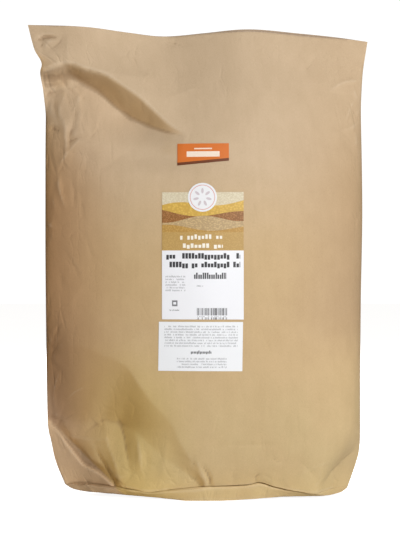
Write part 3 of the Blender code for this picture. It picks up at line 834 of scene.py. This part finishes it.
# painted light: the foot of each wall is brightened
FOOT_PAINTED_LIGHT_TINT = (1.10, 1.10, 1.06, 1)
# painted shade: warmer and darker where a wall faces left or down
AWAY_WARM_SHADE_TINT = (1.0, 0.88, 0.66, 1)
RIDGE_COLOUR = (0.78, 0.66, 0.50, 1)
# painted shade laid into the paper's valleys
VALLEY_SHADE_COLOUR = (0.20, 0.11, 0.05, 1)
SPECK_COLOUR = (0.20, 0.12, 0.06, 1)


def paper_tint(tree, warmth):
    """The tint at each place: by height with a little painted light, painted shade at the sides, the corner's
    ochre, and warm painted shade where it faces away.
    """
    place = add(tree, "ShaderNodeSeparateXYZ", {0: add(tree, "ShaderNodeTexCoord").outputs["Object"]}).outputs
    across, height = place[0], place[2]
    low = ramp(tree, height, 0.62, 0.42)
    # pinkish at the top, yellower near the floor, with a little painted light at both
    tint = blend(tree, ramp(tree, height, 0.52, 0.34), TOP_PINK_AND_LIGHT_TINT, MIDDLE_TINT)
    patchy = sums(tree, "ADD", 0.6, sums(tree, "MULTIPLY", warmth, 0.4))
    near_floor = sums(tree, "MULTIPLY", ramp(tree, height, 0.24, 0.07), patchy)
    tint = blend(tree, near_floor, tint, FLOOR_YELLOW_AND_LIGHT_TINT)
    corner = sums(tree, "MULTIPLY", ramp(tree, across, 0.02, -0.11), ramp(tree, height, 0.26, 0.12))
    tint = blend(tree, corner, tint, OCHRE_TINT)

    # painted shade down the left side, strongest low down, and browner
    at_left = sums(tree, "ADD", 0.12, sums(tree, "MULTIPLY", low, 0.88))
    at_left = sums(tree, "MULTIPLY", ramp(tree, across, -0.08, -0.225), at_left)
    tint = blend(tree, at_left, tint, LEFT_BROWN_AND_SHADE_TINT)
    # painted shade darkening the lower left edge, between the corner and the waist
    low_left_shade = sums(tree, "MULTIPLY", ramp(tree, across, -0.155, -0.215), ramp(tree, height, 0.30, 0.20))
    low_left_shade = sums(tree, "MULTIPLY", low_left_shade, ramp(tree, height, 0.085, 0.12))
    tint = blend(tree, low_left_shade, tint, times(tree, tint, LOW_LEFT_SHADE_TINT))
    # painted shade towards the right edge, above the bottom corner, and browner
    right_edge_shade = sums(tree, "MULTIPLY", ramp(tree, across, 0.08, 0.24), ramp(tree, height, 0.18, 0.29))
    right_edge_shade = sums(tree, "MULTIPLY", right_edge_shade, sums(tree, "ADD", 0.40, sums(tree, "MULTIPLY", low, 0.60)))
    tint = blend(tree, right_edge_shade, tint, RIGHT_BROWN_AND_SHADE_TINT)

    slanted = sums(tree, "ADD", sums(tree, "MULTIPLY", across, 0.0885), sums(tree, "MULTIPLY", height, 0.095))
    toe = ramp(tree, slanted, -0.00855, -0.00925)
    tint = blend(tree, toe, tint, TOE_TINT)
    # painted light brightening the foot of each wall
    tint = blend(tree, ramp(tree, height, 0.060, 0.015), tint, times(tree, tint, FOOT_PAINTED_LIGHT_TINT))
    # warm painted shade where the wall faces left or down, except on the corner's facet
    away = add(tree, "ShaderNodeAttribute", attribute_name="away").outputs["Fac"]
    away = sums(tree, "MULTIPLY", away, sums(tree, "SUBTRACT", 1.0, toe))
    return blend(tree, away, tint, times(tree, tint, AWAY_WARM_SHADE_TINT))


print("tints:", TOP_PINK_AND_LIGHT_TINT[:3], "at the top,", FLOOR_YELLOW_AND_LIGHT_TINT[:3], "near the floor")

# %% [markdown]
# Ridges are rubbed a little paler, and valleys are darkened with painted shade. The finest creases
# and the fibres only catch the light, so they are bumps and not shapes. The cut edge shows the paler
# core, and inside the mouth the paper is bare.

# %% Paper materials


def paper_material(name, light, dark, roughness, relief):
    """Kraft paper between a light and a dark tone."""
    material = bpy.data.materials.new(name)
    material.use_nodes = True
    tree = material.node_tree
    shader = tree.nodes["Principled BSDF"]
    flat = add(tree, "ShaderNodeUVMap", uv_map="paper").outputs[0]
    fibres = use_group(tree, kraft_fibres, {"Vector": flat, "Specks": 0.5})
    tone = blend(tree, fibres["Tone"], (*dark, 1), (*light, 1))
    colour = times(tree, tone, paper_tint(tree, fibres["Warmth"]))
    bend_wear_and_shade = add(tree, "ShaderNodeAttribute", attribute_name="bend").outputs["Fac"]
    # ridges paler from rubbing, valleys darker with painted shade, and the paper's flecks
    for share, strength, shade in (
        (ramp(tree, bend_wear_and_shade, 0.15, 0.9), 0.12, RIDGE_COLOUR),
        (ramp(tree, bend_wear_and_shade, -0.2, -0.9), 0.38, VALLEY_SHADE_COLOUR),
        (fibres["Specks"], 0.55, SPECK_COLOUR),
    ):
        colour = blend(tree, sums(tree, "MULTIPLY", share, strength), colour, shade)
    tree.links.new(colour, shader.inputs["Base Color"])
    gloss = sums(tree, "SUBTRACT", roughness, sums(tree, "MULTIPLY", fibres["Tone"], 0.10))
    tree.links.new(gloss, shader.inputs["Roughness"])
    shader.inputs["Specular IOR Level"].default_value = 0.35
    amount = add(tree, "ShaderNodeAttribute", attribute_name="handled").outputs["Fac"]
    lines = use_group(tree, fine_crumples, {"Vector": flat, "Amount": amount})[0]
    bump = add(tree, "ShaderNodeBump", {"Height": lines, "Strength": 0.3, "Distance": 0.0016})
    fine = {"Height": fibres["Relief"], "Strength": 0.35, "Distance": relief, "Normal": bump.outputs[0]}
    tree.links.new(add(tree, "ShaderNodeBump", fine).outputs[0], shader.inputs["Normal"])
    return material


for name, light, dark, roughness, relief in (
    ("kraft_paper", (0.57, 0.430, 0.268), (0.50, 0.371, 0.224), 0.74, 0.0006),
    ("cut_edge", (0.74, 0.62, 0.47), (0.62, 0.50, 0.36), 0.85, 0.0003),
    ("kraft_inside", (0.46, 0.34, 0.22), (0.36, 0.26, 0.17), 0.85, 0.0006),
):
    sack_mesh.materials.append(paper_material(name, light, dark, roughness, relief))
print("paper materials:", [m.name for m in sack_mesh.materials])

# %% [markdown]
# ## The labels
# Each label is a thin sheet of coated paper pressed on the front wall. A flat patch in front of the
# sack is dropped onto it point by point, always clear of the highest paper beside it, and thickened.
# Each keeps a map of its own flat size in metres, on which the print is laid out. A shrinkwrap could
# press them on too, but rays leave the label's outline where it was cut.

# %% Laying a label on the sack
LABEL_GAP = 0.0003
LABEL_THICKNESS = 0.0003
LABEL_CELL = 0.002
NEAREST_PAPER = ((0, 0), (LABEL_CELL, 0), (-LABEL_CELL, 0), (0, LABEL_CELL), (0, -LABEL_CELL))


def drop_on_front(bm, lift=0.0):
    """Moves a flat patch back until it lies on the front wall, and thickens it."""
    for v in bm.verts:
        hits = []
        for dx, dz in NEAREST_PAPER:
            eye = Vector((v.co.x + dx, -1, v.co.z + dz))
            hits.append(surface.ray_cast(eye, Vector((0, 1, 0)))[0].y)
        v.co.y = 0.5 * min(hits) + 0.5 * hits[0] - LABEL_GAP - lift
    sheet = bmesh.ops.extrude_face_region(bm, geom=bm.faces[:], use_keep_orig=True)
    verts = [v for v in sheet["geom"] if isinstance(v, bmesh.types.BMVert)]
    bmesh.ops.translate(bm, verts=verts, vec=(0, -LABEL_THICKNESS, 0))
    bmesh.ops.recalc_face_normals(bm, faces=bm.faces[:])
    if bm.calc_volume(signed=True) < 0:
        bmesh.ops.reverse_faces(bm, faces=bm.faces[:])


def finish_label(bm, name, node, left, low):
    """Gives a label its flat map from its lower left corner, and puts it in the scene."""
    flat = bm.loops.layers.uv.new("print")
    for face in bm.faces:
        face.smooth = True
        for loop in face.loops:
            loop[flat].uv = (loop.vert.co.x - left, loop.vert.co.z - low)
    mesh = bpy.data.meshes.new(name)
    bm.to_mesh(mesh)
    bm.free()
    mesh.set_sharp_from_angle(angle=math.radians(40))
    label = bpy.data.objects.new(name, mesh)
    bpy.context.scene.collection.objects.link(label)
    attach(label, "root")
    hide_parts(node)
    return label


# %% The label sheets


def square_label(node, left, right, low, high, skew=0.0, rise=0.0):
    """A label cut to size and laid on the sack, its lower edge rising a little to the right."""
    bm = bmesh.new()
    columns, rows = round((right - left) / LABEL_CELL), round((high - low) / LABEL_CELL)
    bmesh.ops.create_grid(bm, x_segments=columns, y_segments=rows, size=0.5)
    for v in bm.verts:
        across, up = v.co.x + 0.5, v.co.y + 0.5
        x = left + (right - left) * across - skew * (1 - up)
        v.co = Vector((x, 0, low + (high - low) * up + rise * across * (1 - up)))
    drop_on_front(bm)
    return finish_label(bm, node + "_sheet", node, left, low)


orange = square_label("orange_label", left=-0.0300, right=0.0450, low=0.4905, high=0.5225, rise=0.0065)
main = square_label("main_label", left=-0.0520, right=0.0660, low=0.2670, high=0.4510)
lower = square_label("lower_label", left=-0.0565, right=0.0650, low=0.1925, high=0.2635, skew=0.001)

BADGE_X, BADGE_Z, BADGE_RADIUS = 0.0065, 0.4435, 0.0210
BADGE_RINGS = (0.97, 0.88, 0.76, 0.64, 0.52, 0.40, 0.28, 0.16, 0.05)
bm = bmesh.new()
bmesh.ops.create_circle(bm, cap_ends=True, segments=72, radius=BADGE_RADIUS)
for share in BADGE_RINGS:
    middle = min(bm.faces, key=lambda f: f.calc_center_median().length)
    wide = max(v.co.length for v in middle.verts)
    inset = wide - share * BADGE_RADIUS
    bmesh.ops.inset_individual(bm, faces=[middle], thickness=inset, use_even_offset=True)
for v in bm.verts:
    v.co = Vector((BADGE_X + v.co.x, 0, BADGE_Z + v.co.y))
drop_on_front(bm, lift=LABEL_GAP + LABEL_THICKNESS)
badge = finish_label(bm, "round_badge_sheet", "round_badge", BADGE_X, BADGE_Z)
for label in (orange, main, lower, badge):
    print(label.name, len(label.data.polygons), "faces", tuple(round(d, 4) for d in label.dimensions))

# %% [markdown]
# ## The print
# The print is generic: fields of colour, rows of unreadable strokes where text would stand, a block of
# bars, and a picture band of grain colours. Each field is a mask from its four edges, laid over the
# one before it, in metres from the label's lower left corner.

# %% A printed material
WHITE = (0.86, 0.87, 0.91)
PALE = (0.90, 0.80, 0.68)
HEADING = (0.90, 0.87, 0.78)
INK = (0.035, 0.035, 0.040)
GREY_INK = (0.30, 0.30, 0.33)


class Print:
    """A label's material: paper, then layers of print."""

    def __init__(self, name, paper):
        self.material = bpy.data.materials.new(name)
        self.material.use_nodes = True
        self.tree = self.material.node_tree
        self.flat = add(self.tree, "ShaderNodeUVMap", uv_map="print").outputs[0]
        self.grain = stretched_noise(self.tree, self.flat, (900, 700, 1), 3.0)
        self.colour = blend(self.tree, self.grain, tuple(c * 0.94 for c in paper) + (1,), (*paper, 1))

    def lay(self, mask, colour, strength=1.0):
        share = sums(self.tree, "MULTIPLY", mask, strength)
        self.colour = blend(self.tree, share, self.colour, (*colour, 1))

    def mask(self, left, right, low, high):
        edges = {"Vector": self.flat, "Left": left, "Right": right, "Low": low, "High": high}
        return use_group(self.tree, print_field, edges)[0]

    def field(self, left, right, low, high, colour, strength=1.0):
        self.lay(self.mask(left, right, low, high), colour, strength)

    def words(self, left, right, low, high, pitch, letter, colour, gaps=0.16, strength=0.9, weight=0.42):
        values = {"Vector": self.flat, "Left": left, "Right": right, "Low": low, "High": high}
        values.update({"Pitch": pitch, "Letter": letter, "Gaps": gaps, "Weight": weight})
        self.lay(use_group(self.tree, print_words, values)[0], colour, strength)

    def under(self, base, slope=0.0, swing=0.0, waves=0.0, shift=0.0):
        """Everything below a line that may slant and wave."""
        across, up, _ = add(self.tree, "ShaderNodeSeparateXYZ", {0: self.flat}).outputs
        turn = sums(self.tree, "ADD", sums(self.tree, "MULTIPLY", across, waves), shift)
        wave = sums(self.tree, "MULTIPLY", sums(self.tree, "SINE", turn), swing)
        slant = sums(self.tree, "MULTIPLY", across, slope)
        line = sums(self.tree, "ADD", sums(self.tree, "ADD", wave, base), slant)
        return sums(self.tree, "LESS_THAN", up, line)

    def seeds(self, mask, scale, light, dark):
        """A field with the look of heaped grain."""
        values = {0: self.flat, 1: scale}
        drawn = add(self.tree, "ShaderNodeVectorMath", values, operation="MULTIPLY").outputs[0]
        cells = add(self.tree, "ShaderNodeTexVoronoi", {"Vector": drawn, "Scale": 1.0}).outputs
        shade = blend(self.tree, ramp(self.tree, cells["Distance"], 0.15, 0.65), (*light, 1), (*dark, 1))
        self.colour = blend(self.tree, mask, self.colour, shade)

    def finish(self, label, roughness=0.42):
        shader = self.tree.nodes["Principled BSDF"]
        self.tree.links.new(self.colour, shader.inputs["Base Color"])
        gloss = sums(self.tree, "ADD", roughness - 0.05, sums(self.tree, "MULTIPLY", self.grain, 0.12))
        self.tree.links.new(gloss, shader.inputs["Roughness"])
        shader.inputs["Coat Weight"].default_value = 0.15
        shader.inputs["Coat Roughness"].default_value = 0.25
        bump = add(self.tree, "ShaderNodeBump", {"Height": self.grain, "Strength": 0.2, "Distance": 0.0001})
        self.tree.links.new(bump.outputs[0], shader.inputs["Normal"])
        label.data.materials.append(self.material)


# %% The orange label's print
design = Print("orange_print", (0.68, 0.175, 0.030))
design.lay(design.under(0.0040, slope=0.087), (0.16, 0.05, 0.02))
design.field(0.0135, 0.0615, 0.0125, 0.0205, PALE, 0.9)
design.field(0.0245, 0.0505, 0.0235, 0.0255, PALE, 0.8)
design.finish(orange)
print("orange print:", len(design.tree.nodes), "nodes")

# %% [markdown]
# The picture band shows what such sacks hold: heaps of grain in five colours, one hill in front of
# another. Each hill is all that lies below a wavy line, and its grains are the cells of a Voronoi
# pattern, light in the middle and dark between. An image texture would need a file of its own, and
# these few nodes stay sharp at any distance.

# %% The main label's print
MAIN_WIDTH, MAIN_HEIGHT = 0.118, 0.184
PICTURE_LOW = 0.0995
# Each grain's colour, and the shade between its grains
CREAM = (0.72, 0.66, 0.50), (0.62, 0.54, 0.38)
YELLOW = (0.70, 0.47, 0.10), (0.58, 0.36, 0.07)
RUSSET = (0.42, 0.20, 0.07), (0.26, 0.11, 0.03)
BEIGE = (0.60, 0.44, 0.23), (0.44, 0.31, 0.16)
GOLD = (0.55, 0.34, 0.10), (0.44, 0.25, 0.06)

design = Print("main_print", WHITE)
picture = design.mask(0.000, MAIN_WIDTH, PICTURE_LOW, MAIN_HEIGHT)
design.seeds(picture, (420, 620, 1), *CREAM)
for base, slope, swing, waves, shift, scale, grain in (
    (0.1640, 0.060, 0.0040, 52, 0.4, (300, 300, 1), YELLOW),
    (0.1560, -0.040, 0.0050, 44, 2.6, (480, 480, 1), RUSSET),
    (0.1440, 0.020, 0.0045, 58, 4.4, (330, 520, 1), BEIGE),
    (0.1330, -0.015, 0.0040, 50, 1.2, (500, 500, 1), GOLD),
):
    field = sums(design.tree, "MULTIPLY", picture, design.under(base, slope, swing, waves, shift))
    design.seeds(field, scale, *grain)
# headings: two pale rows over the picture's foot, and dark rows under it
design.field(0.000, MAIN_WIDTH, PICTURE_LOW, 0.126, (0.50, 0.35, 0.14), 0.45)
design.words(0.026, 0.092, 0.1145, 0.1245, 0.0100, 0.0052, HEADING, gaps=0.06, weight=0.72)
design.words(0.030, 0.088, 0.1015, 0.1115, 0.0100, 0.0056, HEADING, gaps=0.06, weight=0.80)
design.words(0.006, 0.113, 0.0730, 0.0980, 0.0125, 0.0046, INK, gaps=0.14, strength=1.0, weight=0.86)
design.words(0.046, 0.093, 0.0560, 0.0700, 0.0140, 0.0062, INK, gaps=0.08, strength=0.95)
# small print
design.words(0.005, 0.034, 0.0400, 0.0640, 0.0040, 0.0016, GREY_INK, gaps=0.2, strength=0.7)
design.words(0.050, 0.060, 0.0470, 0.0500, 0.0030, 0.0014, INK, gaps=0.1, strength=0.8)
# a block of bars, whose rows are so tall that only one crosses the field, with small print under it
design.field(0.050, 0.094, 0.0060, 0.0165, (0.60, 0.61, 0.64))
design.words(0.050, 0.094, -0.2000, 0.0165, 0.4500, 0.0011, INK, gaps=0.45, strength=0.95)
design.field(0.050, 0.094, 0.0030, 0.0058, WHITE)
design.words(0.051, 0.093, 0.0030, 0.0055, 0.0025, 0.0022, GREY_INK, gaps=0.15, strength=0.7)
# a square frame, with small print under it
design.field(0.0145, 0.0225, 0.0190, 0.0275, (0.10, 0.10, 0.11), 0.85)
design.field(0.0165, 0.0205, 0.0215, 0.0250, WHITE)
design.words(0.011, 0.026, 0.0120, 0.0150, 0.0030, 0.0014, INK, gaps=0.1, strength=0.8)
design.finish(main)
print("main print:", len(design.tree.nodes), "nodes")

# %% The lower label's print
design = Print("lower_print", (0.85, 0.87, 0.90))
design.words(0.008, 0.114, 0.0345, 0.0665, 0.0040, 0.0014, GREY_INK, gaps=0.18, strength=0.75)
design.words(0.046, 0.076, 0.0240, 0.0310, 0.0070, 0.0044, INK, gaps=0.05, strength=0.9)
design.words(0.026, 0.098, 0.0040, 0.0200, 0.0040, 0.0014, GREY_INK, gaps=0.18, strength=0.75)
design.finish(lower)
print("lower print:", len(design.tree.nodes), "nodes")

# %% [markdown]
# The badge has a thin ring and seven seeds round its middle. A seed is an oval turned to its own
# place, so one distance test draws it. Its map starts at its centre, and not at a corner.

# %% The badge's print
SEEDS = 7
RING_INNER, RING_OUTER = 0.0172, 0.0182
SEED_DISTANCE, SEED_LENGTH = 0.0095, 0.0040

design = Print("badge_print", (0.84, 0.85, 0.87))
radius = add(design.tree, "ShaderNodeVectorMath", {0: design.flat}, operation="LENGTH").outputs["Value"]
ring = sums(design.tree, "MULTIPLY", sums(design.tree, "GREATER_THAN", radius, RING_INNER),
            sums(design.tree, "LESS_THAN", radius, RING_OUTER))
design.lay(ring, (0.62, 0.20, 0.16), 0.8)
for number in range(SEEDS):
    turn = {"Vector": design.flat, "Angle": number * math.tau / SEEDS}
    place = add(design.tree, "ShaderNodeVectorRotate", turn, rotation_type="Z_AXIS").outputs[0]
    for operation, by in (("ADD", (0, -SEED_DISTANCE, 0)), ("MULTIPLY", (2.2, 1, 1))):
        place = add(design.tree, "ShaderNodeVectorMath", {0: place, 1: by}, operation=operation).outputs[0]
    size = add(design.tree, "ShaderNodeVectorMath", {0: place}, operation="LENGTH").outputs["Value"]
    design.lay(sums(design.tree, "LESS_THAN", size, SEED_LENGTH), (0.52, 0.42, 0.46), 0.7)
design.finish(badge, 0.38)
print("label materials:", [label.data.materials[0].name for label in (orange, main, lower, badge)])

# %% [markdown]
# ## Studio
# The photograph has a pure white ground with no edge. A flat round floor lies under the sack, and both
# it and the air look white to the camera alone, so they don't wash the paper out. One large soft
# light stands to the right and above, near enough to fall off across the sack. A faint warm one fills
# the left, and one behind lights the back wall for other views. The camera stands level with the
# sack's middle, far back, as in the photograph.

# %% The floor
FLOOR_RADIUS = 9
FLOOR_GLOW = 0.92          # brightness that only the camera sees

bm = bmesh.new()
bmesh.ops.create_circle(bm, cap_ends=True, segments=96, radius=FLOOR_RADIUS)
floor_mesh = bpy.data.meshes.new("studio_floor")
bm.to_mesh(floor_mesh)
bm.free()
floor = bpy.data.objects.new("studio_floor", floor_mesh)
bpy.context.scene.collection.objects.link(floor)
white = bpy.data.materials.new("studio_white")
white.use_nodes = True
shader = white.node_tree.nodes["Principled BSDF"]
shader.inputs["Base Color"].default_value = (0.90, 0.90, 0.90, 1)
shader.inputs["Roughness"].default_value = 0.95
shader.inputs["Specular IOR Level"].default_value = 0.0
shader.inputs["Emission Color"].default_value = (1, 1, 1, 1)
seen = add(white.node_tree, "ShaderNodeLightPath").outputs["Is Camera Ray"]
glow = sums(white.node_tree, "MULTIPLY", seen, FLOOR_GLOW)
white.node_tree.links.new(glow, shader.inputs["Emission Strength"])
floor_mesh.materials.append(white)
print("floor:", round(floor.dimensions.x, 1), "m across")

# %% The lights


def soft_light(name, place, target, size, power, colour):
    """A square area light at a place, facing a target."""
    data = bpy.data.lights.new(name, "AREA")
    data.size = size
    data.energy = power
    data.color = colour
    light = bpy.data.objects.new(name, data)
    light.location = place
    light.rotation_euler = (Vector(target) - Vector(place)).to_track_quat("-Z", "Y").to_euler()
    bpy.context.scene.collection.objects.link(light)
    return light


SACK_MIDDLE = (0, 0, 0.35)
WHITE_LIGHT, WARM_LIGHT = (1.0, 1.0, 1.0), (1.0, 0.80, 0.60)
soft_light("key", (1.52, -3.13, 1.40), (0.05, 0, 0.33), 1.0, 118, WHITE_LIGHT)
soft_light("fill", (-1.6, -1.9, 0.9), SACK_MIDDLE, 1.6, 1, WARM_LIGHT)
soft_light("back", (-0.7, 3.0, 1.6), SACK_MIDDLE, 1.4, 75, WHITE_LIGHT)

world = bpy.data.worlds.new("studio")
world.use_nodes = True
air = world.node_tree
seen = add(air, "ShaderNodeLightPath").outputs["Is Camera Ray"]
air.links.new(blend(air, seen, (1.0, 0.86, 0.68, 1), (1, 1, 1, 1)), air.nodes["Background"].inputs["Color"])
air.links.new(sums(air, "ADD", 0.07, seen), air.nodes["Background"].inputs["Strength"])
bpy.context.scene.world = world
print("lights:", [light.name for light in bpy.data.lights])

# %% The camera
lens = bpy.data.cameras.new("camera")
lens.lens = 100
lens.clip_end = 50
camera = bpy.data.objects.new("camera", lens)
camera.location = (0.003, -2.24, 0.36)
aim = Vector((0.003, 0, 0.339)) - Vector(camera.location)
camera.rotation_euler = aim.to_track_quat("-Z", "Y").to_euler()
bpy.context.scene.collection.objects.link(camera)
bpy.context.scene.camera = camera
bpy.context.scene.view_settings.view_transform = "Standard"
print("camera at", tuple(camera.location))
